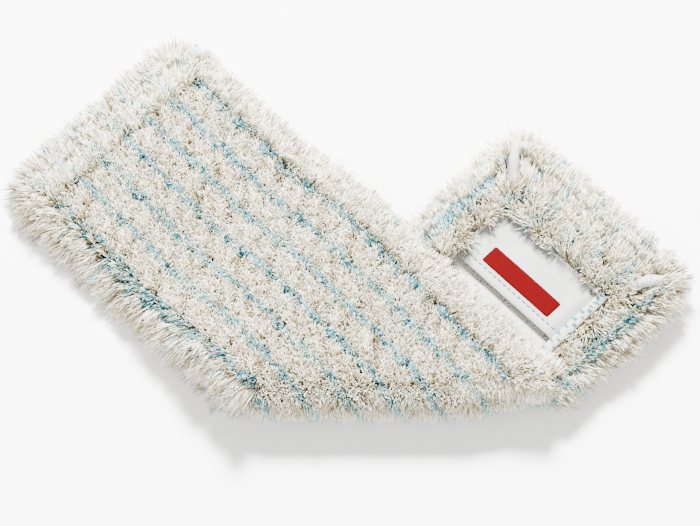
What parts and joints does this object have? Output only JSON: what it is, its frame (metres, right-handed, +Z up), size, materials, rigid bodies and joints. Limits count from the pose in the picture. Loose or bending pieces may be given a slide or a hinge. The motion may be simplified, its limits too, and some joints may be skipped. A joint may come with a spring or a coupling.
{
  "type": "flat mop cover",
  "caption": "Slip-on pile cover for a flat mop, folded at 45 degrees, with a plate pocket at each end of its back.",
  "frame": {"origin": "centre of the folded cover's footprint, on the surface that it lies on", "axes": "+X along the long end towards the fold, +Y towards the outer end of the folded-under end, +Z up"},
  "size_m": [0.368, 0.272, 0.0412],
  "materials": {
    "cream_yarn": "loose cut pile of undyed yarn",
    "blue_yarn": "loose cut pile of teal yarn",
    "ground_cloth": "plain knitted ground",
    "coated_fabric": "smooth coated fabric, semi-matt",
    "sewing_thread": "twisted thread",
    "overlock_binding": "overlocked thread edge",
    "seam_welt": "sewn welt",
    "red_label": "plain woven label"
  },
  "bodies": {
    "main_panel": {"fold_ground_cloth": "ground_cloth", "fold_pile": "cream_yarn", "main_blue_row_1": "blue_yarn", "main_blue_row_2": "blue_yarn", "main_blue_row_3": "blue_yarn", "main_blue_row_4": "blue_yarn", "main_blue_row_5": "blue_yarn", "main_blue_row_6": "blue_yarn", "main_blue_row_7": "blue_yarn", "main_cream_row_1": "cream_yarn", "main_cream_row_2": "cream_yarn", "main_cream_row_3": "cream_yarn", "main_cream_row_4": "cream_yarn", "main_cream_row_5": "cream_yarn", "main_cream_row_6": "cream_yarn", "main_end_binding": "overlock_binding", "main_end_rim": "cream_yarn", "main_front_binding": "overlock_binding", "main_front_corner_seam": "seam_welt", "main_front_rim": "cream_yarn", "main_ground_cloth": "ground_cloth", "main_hem_stitches": "sewing_thread", "main_pocket_strap": "coated_fabric", "main_rear_binding": "overlock_binding", "main_rear_corner_seam": "seam_welt", "main_rear_rim": "cream_yarn", "main_strap_hem": "coated_fabric"},
    "end_flap": {"flap_blue_row_1": "blue_yarn", "flap_blue_row_2": "blue_yarn", "flap_blue_row_3": "blue_yarn", "flap_blue_row_4": "blue_yarn", "flap_blue_row_5": "blue_yarn", "flap_blue_row_6": "blue_yarn", "flap_blue_row_7": "blue_yarn", "flap_cream_row_1": "cream_yarn", "flap_cream_row_2": "cream_yarn", "flap_cream_row_3": "cream_yarn", "flap_cream_row_4": "cream_yarn", "flap_cream_row_5": "cream_yarn", "flap_cream_row_6": "cream_yarn", "flap_end_binding": "overlock_binding", "flap_end_rim": "cream_yarn", "flap_ground_cloth": "ground_cloth", "flap_hem_stitches": "sewing_thread", "flap_left_binding": "overlock_binding", "flap_left_corner_seam": "seam_welt", "flap_left_rim": "cream_yarn", "flap_pocket_strap": "coated_fabric", "flap_right_binding": "overlock_binding", "flap_right_corner_seam": "seam_welt", "flap_right_rim": "cream_yarn", "flap_strap_hem": "coated_fabric", "flap_strap_label": "red_label"}
  },
  "joints": [
    {"name": "fold", "type": "hinge", "parent": "main_panel", "child": "end_flap", "pos_m": [0.1, -0.052, 0.0206], "axis": [-0.7071, -0.7071, 0], "range_deg": [0, 180], "deforming": ["fold_pile", "fold_ground_cloth"]}
  ]
}
